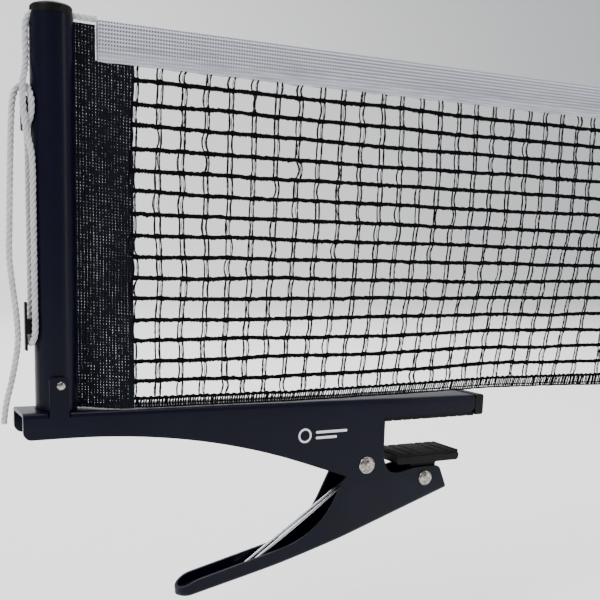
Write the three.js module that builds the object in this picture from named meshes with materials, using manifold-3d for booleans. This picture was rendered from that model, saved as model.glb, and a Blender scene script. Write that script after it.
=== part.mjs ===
// Clip-on table tennis net clamp: the arm and its spring-loaded jaw, the net post, and the start
// of the net that the post carries.
// Millimetres, +Z up. The origin is the middle of the upper jaw's contact face, which lies on the
// table top, and +X runs inwards over the table, along the net.

import * as THREE from 'three';
import * as BufferGeometryUtils from 'three/addons/utils/BufferGeometryUtils.js';
import Module from 'manifold-3d';

const wasm = await Module();
wasm.setup();

// Driving dimensions
const NET_HEIGHT = 152.5; // top of the net above the table
const TABLE_THICKNESS = 15.4; // the board between the jaws at rest
const GAP = 0.3; // between pieces that touch
const RUNNING_GAP = 0.1; // round a pin, on the radius

// Arm: a channel of folded sheet, open downwards
const SHEET = 1.5;
const ARM_HALF_WIDTH = 9.5;
const ARM_LEFT = -180.3;
const ARM_TOP_LEFT = 12.3;
const ARM_TOP_RIGHT = 9.4;
const ARM_UNDERSIDE = 2.3;
const ARM_BEND_RADIUS = 290; // of the swept lower edge
const STOP_X = -24.2; // the edge of the table butts here
const FINGER_END = 24.6;
const FINGER_UNDERSIDE = 1.6;

// Lever: a channel of folded sheet, open upwards, narrower at the handle
const PIVOT = { x: -32.8, z: -18.8 };
const PIVOT_RADIUS = 3;
const PIVOT_HEAD_RADIUS = 4;
const LEVER_HALF_WIDTH = 7.7;
const HANDLE_HALF_WIDTH = 5.7;
const HANDLE_TAPER = { from: -38, to: -71 };
const HANDLE_END = -117.8;
const JAW_PIN = { x: 0, z: -27.8 };
const JAW_PIN_RADIUS = 2.4;
const JAW_HEAD_RADIUS = 3.6;

// Jaw faces
const GRIP_THICKNESS = 1.4;
const UPPER_PAD = { from: STOP_X + 2.1, to: FINGER_END - 0.4 };
const END_BLOCK_TO = 29.4;
const SHOE_HALF_LENGTH = 17;
const SHOE_THICKNESS = 3.4;

// Spring: a double torsion spring on the pivot sleeve
const WIRE_RADIUS = 0.75;
const COIL_RADIUS = 5.3; // to the middle of the wire
const COIL_PITCH = 1.65;
const COIL_Y = 1.25; // where each coil begins, from the middle
const SLEEVE_RADIUS = 4.2;
const SPRING_FINGER_Y = 1.7; // half the width of the middle leg
const MIDDLE_LEG_TIP = { x: -86, z: -60.6 };
const OUTER_LEG_TIP = { x: -73, z: 8 };

// Post: a round tube with a slot towards the net
const POST_X = -166;
const POST_RADIUS = 7.75;
const POST_WALL = 1.2;
const POST_BOTTOM = 3.2;
const POST_TOP = 152.1;
const SLOT_HALF_WIDTH = 1.5;
const EAR = { left: -4.6, right: 2.6, top: 25.2 };
const EAR_NOTCH = 0.9;
const EAR_RIVET = { x: -0.4, z: 22, radius: 1.2, head: 1.65 };
const ROD_X = POST_X + 3.4;
const ROD_RADIUS = 1.5;
const POCKET_RADIUS = 2.5; // of the fabric round the rod

// Cleats on the post's outer side
const CLEAT_CENTRES = { cleat_upper: 121.4, cleat_lower: 43.2 };
const CLEAT_HALF_LENGTH = 9;
const CLEAT_BAR = { inner: -10.4, outer: -11.7, halfWidth: 1.4 };

// Net
const BAND_END = POST_X + 30.3;
const TAPE_START = POST_X + 16.5;
const NET_END = POST_X + 287;
const TAPE_BOTTOM = 138.6;
const TAPE_HALF_THICKNESS = 1.1;
const HEM_TOP = 16.9;
const BINDING_WIDTH = 3;

// Cord
const CORD_RADIUS = 1.2;
const CORD_Z = POST_TOP + CORD_RADIUS + 0.05; // where it crosses the post

const material = (color, roughness, metalness = 0) =>
  new THREE.MeshStandardMaterial({ color, roughness, metalness });
const navyPaint = material(0x12172b, 0.4, 0.2);
const blackPlastic = material(0x151516, 0.5);
const rubber = material(0x0e0e0f, 0.85);
const nickel = material(0xb8b2a6, 0.32, 1);
const zincWire = material(0xd5d9dd, 0.3, 1);
const whiteCord = material(0xe6e6e4, 0.85);
const greyTape = material(0xd3d5da, 0.85);
const blackNet = material(0x101013, 0.9);

const part = new THREE.Group();

function add(name, geometry, finish) {
  const mesh = new THREE.Mesh(geometry, finish);
  mesh.name = name;
  part.add(mesh);
}

// A closed outline of corners [x, y, radius], each rounded to its radius.
function outline(corners) {
  const shape = new THREE.Shape();
  const at = (i) => {
    const [x, y] = corners[(i + corners.length) % corners.length];
    return new THREE.Vector2(x, y);
  };
  corners.forEach(([x, y, radius = 0], i) => {
    const corner = new THREE.Vector2(x, y);
    const back = at(i - 1).sub(corner).normalize();
    const onward = at(i + 1).sub(corner).normalize();
    const half = Math.acos(back.dot(onward)) / 2;
    const start = corner.clone().addScaledVector(back, radius / Math.tan(half));
    const end = corner.clone().addScaledVector(onward, radius / Math.tan(half));
    const middle = back.clone().add(onward).normalize();
    const centre = corner.clone().addScaledVector(middle, radius / Math.sin(half));
    if (i === 0) shape.moveTo(start.x, start.y);
    else shape.lineTo(start.x, start.y);
    if (radius > 0) {
      const from = start.sub(centre).angle();
      const to = end.sub(centre).angle();
      shape.absarc(centre.x, centre.y, radius, from, to, back.cross(onward) > 0);
    }
  });
  return shape;
}

// A side outline in x and z, carried across to both sides of y = 0.
function across(corners, halfWidth, curveSegments = 5) {
  const options = { depth: 2 * halfWidth, bevelEnabled: false, curveSegments };
  const geometry = new THREE.ExtrudeGeometry(outline(corners), options);
  return geometry.rotateX(Math.PI / 2).translate(0, halfWidth, 0);
}

// A plan outline in x and y, raised from z = bottom to z = top.
function upright(shape, bottom, top, curveSegments = 5) {
  const options = { depth: top - bottom, bevelEnabled: false, curveSegments };
  return new THREE.ExtrudeGeometry(shape, options).translate(0, 0, bottom);
}

function box(x0, x1, y0, y1, z0, z1) {
  const geometry = new THREE.BoxGeometry(x1 - x0, y1 - y0, z1 - z0);
  return geometry.translate((x0 + x1) / 2, (y0 + y1) / 2, (z0 + z1) / 2);
}

// A round bar along y at the point (x, z).
function barY(radius, y0, y1, { x, z }, sides = 32) {
  const geometry = new THREE.CylinderGeometry(radius, radius, y1 - y0, sides);
  return geometry.translate(x, (y0 + y1) / 2, z);
}

function barZ(radius, z0, z1, x, y, sides = 32) {
  const geometry = new THREE.CylinderGeometry(radius, radius, z1 - z0, sides);
  return geometry.rotateX(Math.PI / 2).translate(x, y, (z0 + z1) / 2);
}

function barX(radius, x0, x1, z, sides = 20) {
  const geometry = new THREE.CylinderGeometry(radius, radius, x1 - x0, sides);
  return geometry.rotateZ(Math.PI / 2).translate((x0 + x1) / 2, 0, z);
}

function solid(geometry) {
  const bare = geometry.clone();
  bare.deleteAttribute('normal');
  bare.deleteAttribute('uv');
  const merged = BufferGeometryUtils.mergeVertices(bare);
  const vertProperties = new Float32Array(merged.attributes.position.array);
  const triVerts = new Uint32Array(merged.index.array);
  return new wasm.Manifold(new wasm.Mesh({ numProp: 3, vertProperties, triVerts }));
}

function geometryOf(manifold) {
  const mesh = manifold.getMesh();
  const geometry = new THREE.BufferGeometry();
  geometry.setAttribute('position', new THREE.BufferAttribute(mesh.vertProperties, 3));
  geometry.setIndex(new THREE.BufferAttribute(mesh.triVerts, 1));
  geometry.computeVertexNormals();
  return geometry;
}

const joined = (...geometries) => geometries.map(solid).reduce((a, b) => a.add(b));
const cutBy = (manifold, ...geometries) =>
  geometries.map(solid).reduce((a, b) => a.subtract(b), manifold);

// Height of the arm's top face at x.
function armTop(x) {
  const share = (x - ARM_LEFT) / (FINGER_END - ARM_LEFT);
  return ARM_TOP_LEFT + share * (ARM_TOP_RIGHT - ARM_TOP_LEFT);
}

// Arm: the web on top, a side plate each side, and two ears that hold the post
{
  const side = [
    [ARM_LEFT, ARM_TOP_LEFT, 0.8],
    [ARM_LEFT, ARM_UNDERSIDE, 3],
    [-113.4, ARM_UNDERSIDE, ARM_BEND_RADIUS],
    [STOP_X, -29.8, 8.4],
    [STOP_X, FINGER_UNDERSIDE],
    [FINGER_END, FINGER_UNDERSIDE, 3],
    [FINGER_END, ARM_TOP_RIGHT, 0.8],
  ];
  const under = [
    [ARM_LEFT - 10, armTop(ARM_LEFT - 10) - SHEET],
    [ARM_LEFT - 10, -60],
    [FINGER_END + 10, -60],
    [FINGER_END + 10, armTop(FINGER_END + 10) - SHEET],
  ];
  const ear = [
    [POST_X + EAR.left, 8],
    [POST_X + EAR.right, 8],
    [POST_X + EAR.right, EAR.top, 1.5],
    [POST_X + EAR.left, EAR.top, 1.5],
  ];
  const inside = ARM_HALF_WIDTH - SHEET;
  const ears = solid(across(ear, ARM_HALF_WIDTH));
  const channel = solid(across(side, ARM_HALF_WIDTH));
  const rivet = { x: POST_X + EAR_RIVET.x, z: EAR_RIVET.z };
  // Relief notches beside the ears, where the web is folded and the ears are not
  const notches = [];
  for (const x of [POST_X + EAR.left - EAR_NOTCH, POST_X + EAR.right]) {
    notches.push(box(x, x + EAR_NOTCH, inside - 0.6, 12, 8.8, 20));
    notches.push(box(x, x + EAR_NOTCH, -12, 0.6 - inside, 8.8, 20));
  }
  const arm = cutBy(
    channel.subtract(solid(across(under, inside))).add(cutBy(ears, across(ear, inside))),
    barZ(POST_RADIUS + 0.2, 5, 40, POST_X, 0, 48),
    barY(PIVOT_RADIUS + RUNNING_GAP, -20, 20, PIVOT),
    barY(EAR_RIVET.radius + RUNNING_GAP, -20, 20, rivet, 20),
    ...notches,
  );
  add('arm_bracket', geometryOf(arm), navyPaint);
}

// Moulded insert in the finger of the arm: it fills the channel, lips round the plates and
// closes the open end. The rubber grip lies under it.
{
  const lip = [
    [UPPER_PAD.from, GRIP_THICKNESS + 0.02],
    [UPPER_PAD.to, GRIP_THICKNESS + 0.02],
    [UPPER_PAD.to, FINGER_UNDERSIDE - 0.02],
    [UPPER_PAD.from, FINGER_UNDERSIDE - 0.02],
  ];
  const core = [
    [UPPER_PAD.from, GRIP_THICKNESS + 0.02],
    [FINGER_END + 0.5, GRIP_THICKNESS + 0.02],
    [FINGER_END + 0.5, armTop(FINGER_END) - SHEET - 0.1],
    [UPPER_PAD.from, armTop(UPPER_PAD.from) - SHEET - 0.2],
  ];
  const block = [
    [FINGER_END + 0.3, 0.3],
    [END_BLOCK_TO, 0.3, 1],
    [END_BLOCK_TO, 9.3, 1.2],
    [FINGER_END + 0.3, 9.3],
  ];
  const inside = ARM_HALF_WIDTH - SHEET - 0.2;
  const insert = joined(
    across(lip, ARM_HALF_WIDTH),
    across(core, inside),
    across(block, ARM_HALF_WIDTH),
  );
  add('jaw_insert', geometryOf(insert), blackPlastic);
}

// Rubber grip with shallow grooves across it; its face at z = 0 lies on the table top.
{
  const grip = solid(box(UPPER_PAD.from, UPPER_PAD.to, -9.2, 9.2, 0, GRIP_THICKNESS));
  const grooves = [];
  for (let x = -20; x <= 20; x += 5) {
    if (x !== 0) grooves.push(box(x - 0.4, x + 0.4, -12, 12, -1, 0.5));
  }
  add('upper_grip', geometryOf(cutBy(grip, ...grooves)), rubber);
}

// Lever: the lobe round the pivot, the jaw and the handle, whose wall runs round its end
{
  const side = [
    [-40.6, -11, 7.4],
    [-40.6, -21.5, 8],
    [-55.2, -49.8, 36],
    [-111, -62.2, 14],
    [HANDLE_END, -66.5, 0.8],
    [HANDLE_END, -69.9, 1.2],
    [-68.3, -60, 150],
    [12.4, -33.9, 2.5],
    [7.6, -22.6, 3],
    [-6, -22.6, 10],
    [-19.5, -25.2, 6],
    [-25.2, -10.8, 6],
  ];
  const hollow = [
    [-30, 5],
    [-60, -46],
    [-130, -58],
    [-130, -72.3 + SHEET],
    [-68.3, -60 + SHEET, 150],
    [12.4, -33.9 + SHEET],
    [30, -28],
    [30, 5],
  ];
  const plan = (inset) => {
    const jaw = LEVER_HALF_WIDTH - inset;
    const handle = HANDLE_HALF_WIDTH - inset;
    return outline([
      [HANDLE_END + inset, -handle, handle - 0.3],
      [HANDLE_TAPER.to, -handle, 40],
      [HANDLE_TAPER.from, -jaw, 40],
      [40, -jaw],
      [40, jaw],
      [HANDLE_TAPER.from, jaw, 40],
      [HANDLE_TAPER.to, handle, 40],
      [HANDLE_END + inset, handle, handle - 0.3],
    ]);
  };
  const outer = solid(across(side, 12, 6)).intersect(solid(upright(plan(0), -90, 20)));
  const inner = solid(across(hollow, 12, 6)).intersect(solid(upright(plan(SHEET), -90, 20)));
  const lever = cutBy(
    outer.subtract(inner),
    barY(SLEEVE_RADIUS - 1 + RUNNING_GAP, -20, 20, PIVOT),
    barY(JAW_PIN_RADIUS + RUNNING_GAP, -20, 20, JAW_PIN, 28),
  );
  add('lever_channel', geometryOf(lever), navyPaint);
}

// A rivet along y with a domed head at each end.
function rivetGeometry({ x, z }, shank, head, halfGrip, dome, sides = 28) {
  const profile = [new THREE.Vector2(0, -halfGrip - dome)];
  for (let i = 1; i <= 4; i += 1) {
    const angle = (i / 4) * (Math.PI / 2);
    const y = -halfGrip - dome * Math.cos(angle);
    profile.push(new THREE.Vector2(head * Math.sin(angle), y));
  }
  profile.push(new THREE.Vector2(shank, -halfGrip));
  const mirrored = profile.map((p) => new THREE.Vector2(p.x, -p.y)).reverse();
  return new THREE.LatheGeometry([...profile, ...mirrored], sides).translate(x, 0, z);
}

// A closed ring or sleeve along y.
function sleeveGeometry({ x, z }, inner, outer, halfLength, sides = 28) {
  const section = [
    new THREE.Vector2(inner, -halfLength),
    new THREE.Vector2(outer, -halfLength),
    new THREE.Vector2(outer, halfLength),
    new THREE.Vector2(inner, halfLength),
    new THREE.Vector2(inner, -halfLength),
  ];
  return new THREE.LatheGeometry(section, sides).translate(x, 0, z);
}

const armGrip = ARM_HALF_WIDTH + 0.1;
add('pivot_rivet', rivetGeometry(PIVOT, PIVOT_RADIUS, PIVOT_HEAD_RADIUS, armGrip, 1.5), nickel);
{
  // The sleeve turns in the lever's holes; shoulders inside the walls keep the coils in place.
  const insideWall = LEVER_HALF_WIDTH - SHEET - 0.2;
  const inner = PIVOT_RADIUS + RUNNING_GAP;
  const journal = solid(sleeveGeometry(PIVOT, inner, SLEEVE_RADIUS - 1, ARM_HALF_WIDTH - SHEET - 0.1));
  const bush = solid(sleeveGeometry(PIVOT, inner, SLEEVE_RADIUS, insideWall));
  add('pivot_sleeve', geometryOf(journal.add(bush)), nickel);
}

// Swivel shoe on the jaw pin: a plate with two lugs between the lever's walls
const shoeTop = -TABLE_THICKNESS - GRIP_THICKNESS - 0.02;
{
  const plate = [
    [-SHOE_HALF_LENGTH, shoeTop - SHOE_THICKNESS, 1.5],
    [SHOE_HALF_LENGTH, shoeTop - SHOE_THICKNESS, 1.5],
    [SHOE_HALF_LENGTH, shoeTop, 0.6],
    [-SHOE_HALF_LENGTH, shoeTop, 0.6],
  ];
  const lug = [
    [-5, JAW_PIN.z - 4.4, 4.2],
    [5, JAW_PIN.z - 4.4, 4.2],
    [7.5, shoeTop - 1],
    [-7.5, shoeTop - 1],
  ];
  const lugOuter = LEVER_HALF_WIDTH - SHEET - 0.3;
  const lugs = solid(across(lug, lugOuter)).subtract(solid(box(-20, 20, -2.2, 2.2, -50, shoeTop - 3)));
  const shoe = cutBy(
    solid(across(plate, ARM_HALF_WIDTH)).add(lugs),
    barY(JAW_PIN_RADIUS + RUNNING_GAP, -20, 20, JAW_PIN, 28),
  );
  add('jaw_shoe', geometryOf(shoe), blackPlastic);

  const half = SHOE_HALF_LENGTH - 0.4;
  const grip = solid(box(-half, half, -9.2, 9.2, -TABLE_THICKNESS - GRIP_THICKNESS, -TABLE_THICKNESS));
  const grooves = [];
  for (let x = -15; x <= 15; x += 5) {
    if (x !== 0) grooves.push(box(x - 0.4, x + 0.4, -12, 12, -TABLE_THICKNESS - 0.5, -10));
  }
  add('lower_grip', geometryOf(cutBy(grip, ...grooves)), rubber);
}
const leverGrip = LEVER_HALF_WIDTH + 0.1;
add('jaw_pin', rivetGeometry(JAW_PIN, JAW_PIN_RADIUS, JAW_HEAD_RADIUS, leverGrip, 1.4), nickel);

// A wire or cord of round section along a curve.
function alongCurve(curve, radius, steps, sides = 8) {
  const section = new THREE.Shape();
  for (let i = 0; i < sides; i += 1) {
    const angle = (2 * Math.PI * i) / sides;
    const point = [radius * Math.cos(angle), radius * Math.sin(angle)];
    if (i === 0) section.moveTo(...point);
    else section.lineTo(...point);
  }
  const options = { steps, extrudePath: curve, curveSegments: 1 };
  return new THREE.ExtrudeGeometry(section, options);
}

const curveThrough = (points, x0 = 0) =>
  new THREE.CatmullRomCurve3(points.map(([x, y, z]) => new THREE.Vector3(x + x0, y, z)), false);

// Where a leg that ends at tip leaves the coil, as an angle round the pivot.
function leavingAngle(tip, side) {
  const [dx, dz] = [tip.x - PIVOT.x, tip.z - PIVOT.z];
  return Math.atan2(dz, dx) + side * Math.acos(COIL_RADIUS / Math.hypot(dx, dz));
}

// Double torsion spring, one wire: an outer leg under the arm's web, a coil, the middle leg to
// the handle's floor and back, the other coil and the other outer leg.
{
  const onCoil = (angle) => ({
    x: PIVOT.x + COIL_RADIUS * Math.cos(angle),
    z: PIVOT.z + COIL_RADIUS * Math.sin(angle),
  });
  const between = (a, b, share, y) => [a.x + share * (b.x - a.x), y, a.z + share * (b.z - a.z)];
  const start = leavingAngle(MIDDLE_LEG_TIP, 1);
  const wholeTurns = Math.ceil((start - leavingAngle(OUTER_LEG_TIP, -1)) / (2 * Math.PI)) + 2;
  const end = leavingAngle(OUTER_LEG_TIP, -1) + 2 * Math.PI * wholeTurns;
  const turns = (end - start) / (2 * Math.PI);
  const outerY = COIL_Y + turns * COIL_PITCH;
  const oneSide = [0, 0.25, 0.5, 0.75].map((share) =>
    between(MIDDLE_LEG_TIP, onCoil(start), share, SPRING_FINGER_Y + share * (COIL_Y - SPRING_FINGER_Y)),
  );
  const steps = Math.round(16 * turns);
  for (let i = 0; i <= steps; i += 1) {
    const { x, z } = onCoil(start + (i / steps) * (end - start));
    oneSide.push([x, COIL_Y + (i / steps) * (outerY - COIL_Y), z]);
  }
  for (const share of [0.3, 0.65, 1]) {
    oneSide.push(between(onCoil(end), OUTER_LEG_TIP, share, outerY));
  }
  const otherSide = oneSide.map(([x, y, z]) => [x, -y, z]).reverse();
  const bend = between(onCoil(start), MIDDLE_LEG_TIP, 1.02, 0);
  const wire = curveThrough([...otherSide, bend, ...oneSide]);
  add('torsion_spring', alongCurve(wire, WIRE_RADIUS, 190), zincWire);
}

// Post: a slotted tube, with holes for its rivet and the cleats' pegs and a notch for the cord
{
  const inner = POST_RADIUS - POST_WALL;
  const outerEdge = Math.asin(SLOT_HALF_WIDTH / POST_RADIUS);
  const innerEdge = Math.asin(SLOT_HALF_WIDTH / inner);
  const section = new THREE.Shape();
  section.absarc(POST_X, 0, POST_RADIUS, outerEdge, 2 * Math.PI - outerEdge, false);
  section.absarc(POST_X, 0, inner, 2 * Math.PI - innerEdge, innerEdge, true);
  const rivet = { x: POST_X + EAR_RIVET.x, z: EAR_RIVET.z };
  const holes = Object.values(CLEAT_CENTRES).map((z) => barX(1.5, POST_X - 12, POST_X, z));
  const tube = cutBy(
    solid(upright(section, POST_BOTTOM, POST_TOP, 20)),
    barY(EAR_RIVET.radius + RUNNING_GAP, -20, 20, rivet, 20),
    barX(1.6, POST_X - 12, POST_X, 150.2),
    box(POST_X - 12, POST_X, -1.6, 1.6, 150.2, POST_TOP + 1),
    ...holes,
  );
  add('post_tube', geometryOf(tube), navyPaint);

  const rivetAt = rivetGeometry(rivet, EAR_RIVET.radius, EAR_RIVET.head, armGrip, 0.8, 20);
  add('post_rivet', rivetAt, nickel);
}

// Cap: a low dome on a plug, with a groove across it for the cord
{
  const rim = POST_TOP + 0.15;
  const profile = [
    [0, 148.4],
    [POST_RADIUS - POST_WALL - 0.2, 148.4],
    [POST_RADIUS - POST_WALL - 0.2, rim],
    [POST_RADIUS - 0.05, rim],
    [POST_RADIUS - 0.05, 154.6],
    [POST_RADIUS - 0.6, 155.7],
    [POST_RADIUS - 2.2, 156.4],
    [3, 156.8],
    [0, 156.9],
  ].map(([x, y]) => new THREE.Vector2(x, y));
  const cap = new THREE.LatheGeometry(profile, 40).rotateX(Math.PI / 2).translate(POST_X, 0, 0);
  const grooved = cutBy(
    solid(cap),
    box(POST_X - 12, POST_X + 12, -1.5, 1.5, POST_TOP - 0.1, CORD_Z + CORD_RADIUS + 0.15),
    box(POST_X - 12, POST_X - 3, -1.6, 1.6, 147, CORD_Z),
  );
  add('post_cap', geometryOf(grooved), blackPlastic);
}

// Foot plug: closes the tube inside the arm, with a boss that shows below the side plates
{
  const profile = [
    [0, 1.6],
    [3.6, 1.6],
    [3.6, 2.3],
    [POST_RADIUS - 0.15, 2.3],
    [POST_RADIUS - 0.15, POST_BOTTOM - 0.1],
    [POST_RADIUS - POST_WALL - 0.2, POST_BOTTOM - 0.1],
    [POST_RADIUS - POST_WALL - 0.2, 9.6],
    [0, 9.6],
  ].map(([x, y]) => new THREE.Vector2(x, y));
  const plug = new THREE.LatheGeometry(profile, 36).rotateX(Math.PI / 2).translate(POST_X, 0, 0);
  add('post_foot_plug', plug, blackPlastic);
}

// Cleats: a foot on the post, a stem and an upright bar, held by a peg through the tube's wall
for (const [name, z] of Object.entries(CLEAT_CENTRES)) {
  const { inner, outer, halfWidth } = CLEAT_BAR;
  const bar = [
    [POST_X + outer, z - CLEAT_HALF_LENGTH, 0.9],
    [POST_X + inner, z - CLEAT_HALF_LENGTH, 0.4],
    [POST_X + inner, z + CLEAT_HALF_LENGTH, 0.4],
    [POST_X + outer, z + CLEAT_HALF_LENGTH, 0.9],
  ];
  const foot = box(POST_X - 8.55, POST_X - POST_RADIUS - 0.2, -2.1, 2.1, z - 3.2, z + 3.2);
  const stem = box(POST_X + inner - 0.2, POST_X - 8.4, -2.1, 2.1, z - 2.8, z + 2.8);
  const peg = barX(1.35, POST_X - 8.2, POST_X - 5.6, z);
  add(name, geometryOf(joined(across(bar, halfWidth), foot, stem, peg)), blackPlastic);
}

// Net: the rod in the post, the woven side band round it, the netting, the tape along the top,
// the hem along the bottom and the binding that finishes this length of net
{
  const rodGeometry = barZ(ROD_RADIUS, 12, 146.6, ROD_X, 0, 16);
  add('net_edge_rod', rodGeometry, zincWire);

  const bandBottom = armTop(POST_X) + 0.3;
  const pocketTop = 147.2;
  const pocket = barZ(POCKET_RADIUS, bandBottom, pocketTop, ROD_X, 0, 20);
  const flat = box(ROD_X + 1, BAND_END, -0.5, 0.5, bandBottom, pocketTop);
  const flatTop = box(POST_X + 6.8, BAND_END, -0.5, 0.5, pocketTop - 1, NET_HEIGHT - 1.1);
  const band = cutBy(
    joined(pocket, flat, flatTop),
    barZ(ROD_RADIUS + 0.3, 0, 160, ROD_X, 0, 16),
    box(TAPE_START - GAP, BAND_END + 5, -5, 5, TAPE_BOTTOM - GAP, 170),
  );
  add('net_side_band', geometryOf(band), blackNet);

  const meshStart = BAND_END + GAP;
  const meshEnd = NET_END - BINDING_WIDTH - GAP;
  const netting = box(meshStart, meshEnd, -0.4, 0.4, HEM_TOP + GAP, TAPE_BOTTOM - GAP);
  add('net_mesh', netting, blackNet);

  const hem = [
    [meshStart, armTop(meshStart) + 0.4],
    [meshEnd, armTop(meshEnd) + 0.4],
    [meshEnd, HEM_TOP],
    [meshStart, HEM_TOP],
  ];
  add('net_hem', across(hem, 0.9), blackNet);

  const bindingBottom = armTop(NET_END) + 0.4;
  const binding = box(NET_END - BINDING_WIDTH, NET_END, -1, 1, bindingBottom, TAPE_BOTTOM - GAP);
  add('net_end_binding', binding, blackNet);

  const tapeSection = outline([
    [-TAPE_HALF_THICKNESS, TAPE_BOTTOM, 0.5],
    [TAPE_HALF_THICKNESS, TAPE_BOTTOM, 0.5],
    [TAPE_HALF_THICKNESS + 0.5, NET_HEIGHT + 0.4, 1.5],
    [-TAPE_HALF_THICKNESS - 0.5, NET_HEIGHT + 0.4, 1.5],
  ]);
  const length = NET_END - TAPE_START;
  const options = { depth: length, bevelEnabled: false, curveSegments: 3 };
  const tape = new THREE.ExtrudeGeometry(tapeSection, options);
  tape.rotateX(Math.PI / 2).rotateZ(Math.PI / 2).translate(TAPE_START, 0, 0);
  add('net_tape', tape, greyTape);
}

// Cord: out of the tape, over the post, down to the cleats, round them, and a free tail.
// The points are from the post's axis.
{
  const topRun = [
    [16.2, 0, 153.1],
    [12, 0, 153.1],
    [8, 0, 153.2],
    [3, 0, CORD_Z],
    [-3, 0, CORD_Z],
    [-6.1, 0, 152.7],
    [-8.2, 0, 150.9],
    [-9.05, 0, 148],
    [-9.1, 0, 142],
    [-9.2, -0.2, 136],
    [-9.8, -1.9, 132.4],
    [-10.7, -3.6, 129],
    [-11, -4.3, 124],
    [-10.9, -4.4, 118],
    [-9.9, -4.2, 111.5],
    [-8.6, -3.95, 105.5],
    [-8.2, -3.9, 100],
  ];
  const wound = [
    [-8.2, -3.9, 99.7],
    [-8.2, -3.9, 84],
    [-8.2, -3.9, 66],
    [-8.2, -3.95, 49],
    [-8.2, -4.1, 43.4],
    [-8.4, -3.6, 39.8],
    [-8.9, -2, 37.7],
    [-9.05, 0, 37],
    [-8.9, 2, 37.7],
    [-8.4, 3.6, 39.8],
    [-8.2, 4.1, 43.4],
    [-8.2, 3.95, 49],
    [-8.2, 3.9, 66],
    [-8.2, 3.9, 84],
    [-8.2, 3.9, 99.7],
  ];
  const hitchAndTail = [
    [-8.2, 3.9, 100],
    [-8.2, 3.9, 106],
    [-8.4, 3.5, 110.4],
    [-8.9, 1.7, 113.4],
    [-9.05, -0.3, 114.6],
    [-8.7, -2.5, 116],
    [-8.25, -3.9, 119.2],
    [-8.3, -3.9, 123.1],
    [-8.8, -2.3, 126.6],
    [-9.05, 0, 127.4],
    [-8.9, 2.1, 128.2],
    [-9.4, 3.9, 128.6],
    [-11.3, 4.6, 127.9],
    [-12.7, 4.1, 125.2],
    [-13.6, 3, 121.4],
    [-14.3, 1.7, 115],
    [-14.9, 0.6, 106],
    [-15.4, 0, 96],
    [-15.9, 0, 80],
    [-16.2, 0, 68],
    [-15.2, 0, 57],
    [-14.1, 0, 47],
    [-13.8, 0, 38],
    [-14.7, 0, 31],
    [-16.4, 0, 23],
    [-18.4, 0, 15],
    [-19.5, 0, 7.5],
  ];
  add('cord_top_run', alongCurve(curveThrough(topRun, POST_X), CORD_RADIUS, 28), whiteCord);
  add('cord_wound', alongCurve(curveThrough(wound, POST_X), CORD_RADIUS, 34), whiteCord);
  add('cord_tail', alongCurve(curveThrough(hitchAndTail, POST_X), CORD_RADIUS, 46), whiteCord);
}

export default part;
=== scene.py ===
"""Looks of a clip-on table tennis net clamp: arm, sprung jaw, post, cleats, cord and net."""

import math
import random

import bmesh
import bpy
import numpy as np
from mathutils import Matrix, Vector


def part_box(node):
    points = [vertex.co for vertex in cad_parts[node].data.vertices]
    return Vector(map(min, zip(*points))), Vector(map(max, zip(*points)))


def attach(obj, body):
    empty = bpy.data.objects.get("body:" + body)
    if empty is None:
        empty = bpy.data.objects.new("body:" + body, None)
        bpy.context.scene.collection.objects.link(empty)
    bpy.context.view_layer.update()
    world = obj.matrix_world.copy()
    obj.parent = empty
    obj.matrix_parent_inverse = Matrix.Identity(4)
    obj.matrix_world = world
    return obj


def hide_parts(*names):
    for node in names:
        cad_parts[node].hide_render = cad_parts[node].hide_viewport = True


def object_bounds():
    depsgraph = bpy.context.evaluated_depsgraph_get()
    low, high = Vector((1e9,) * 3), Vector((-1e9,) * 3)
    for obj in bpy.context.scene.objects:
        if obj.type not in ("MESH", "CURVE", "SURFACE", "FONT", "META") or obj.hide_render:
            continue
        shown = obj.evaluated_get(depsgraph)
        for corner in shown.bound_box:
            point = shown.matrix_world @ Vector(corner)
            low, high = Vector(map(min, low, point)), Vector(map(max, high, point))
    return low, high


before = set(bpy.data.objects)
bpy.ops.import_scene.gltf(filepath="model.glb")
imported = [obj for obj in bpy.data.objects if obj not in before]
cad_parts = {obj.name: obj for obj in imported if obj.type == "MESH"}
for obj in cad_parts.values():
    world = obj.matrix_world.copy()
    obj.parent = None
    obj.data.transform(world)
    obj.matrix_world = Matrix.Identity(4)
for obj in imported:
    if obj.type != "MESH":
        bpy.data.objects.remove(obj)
cad_low, cad_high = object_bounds()

MM = 0.001
SEED = 7
random.seed(SEED)
noise = np.random.default_rng(SEED)


# ---- places, in millimetres
def box_mm(node):
    low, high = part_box(node)
    return np.array(low) / MM, np.array(high) / MM


def middle_mm(node):
    low, high = box_mm(node)
    return (low + high) / 2


PIVOT = middle_mm("pivot_rivet")
JAW_PIN = middle_mm("jaw_pin")
ARM_LOW, ARM_HIGH = box_mm("arm_bracket")
FINGER_END = ARM_HIGH[0]
ARM_LEFT = ARM_LOW[0]
ARM_HALF_WIDTH = ARM_HIGH[1]
POST_LOW, POST_HIGH = box_mm("post_tube")
POST_RADIUS = 7.75
POST_X = POST_LOW[0] + POST_RADIUS
POST_WALL, SLOT_WIDTH = 1.2, 3
POST_BOTTOM, POST_TOP = POST_LOW[2], POST_HIGH[2]
SHEET = 1.5
STOP_X = -24.2
# Half the length of a cutter that runs right across the clamp
CLEAR_OF_SIDES = 20
ARM_TOP_LEFT, ARM_TOP_RIGHT = 12.3, 9.4
HANDLE_END = box_mm("lever_channel")[0][0]
BAND_START, BAND_END = POST_X + 6.9, POST_X + 30.3
TAPE_START = box_mm("net_tape")[0][0]
NET_END = box_mm("net_tape")[1][0]
ROW_END = NET_END - 2.2
TAPE_BOTTOM, TAPE_TOP = box_mm("net_tape")[0][2], box_mm("net_tape")[1][2]


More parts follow.
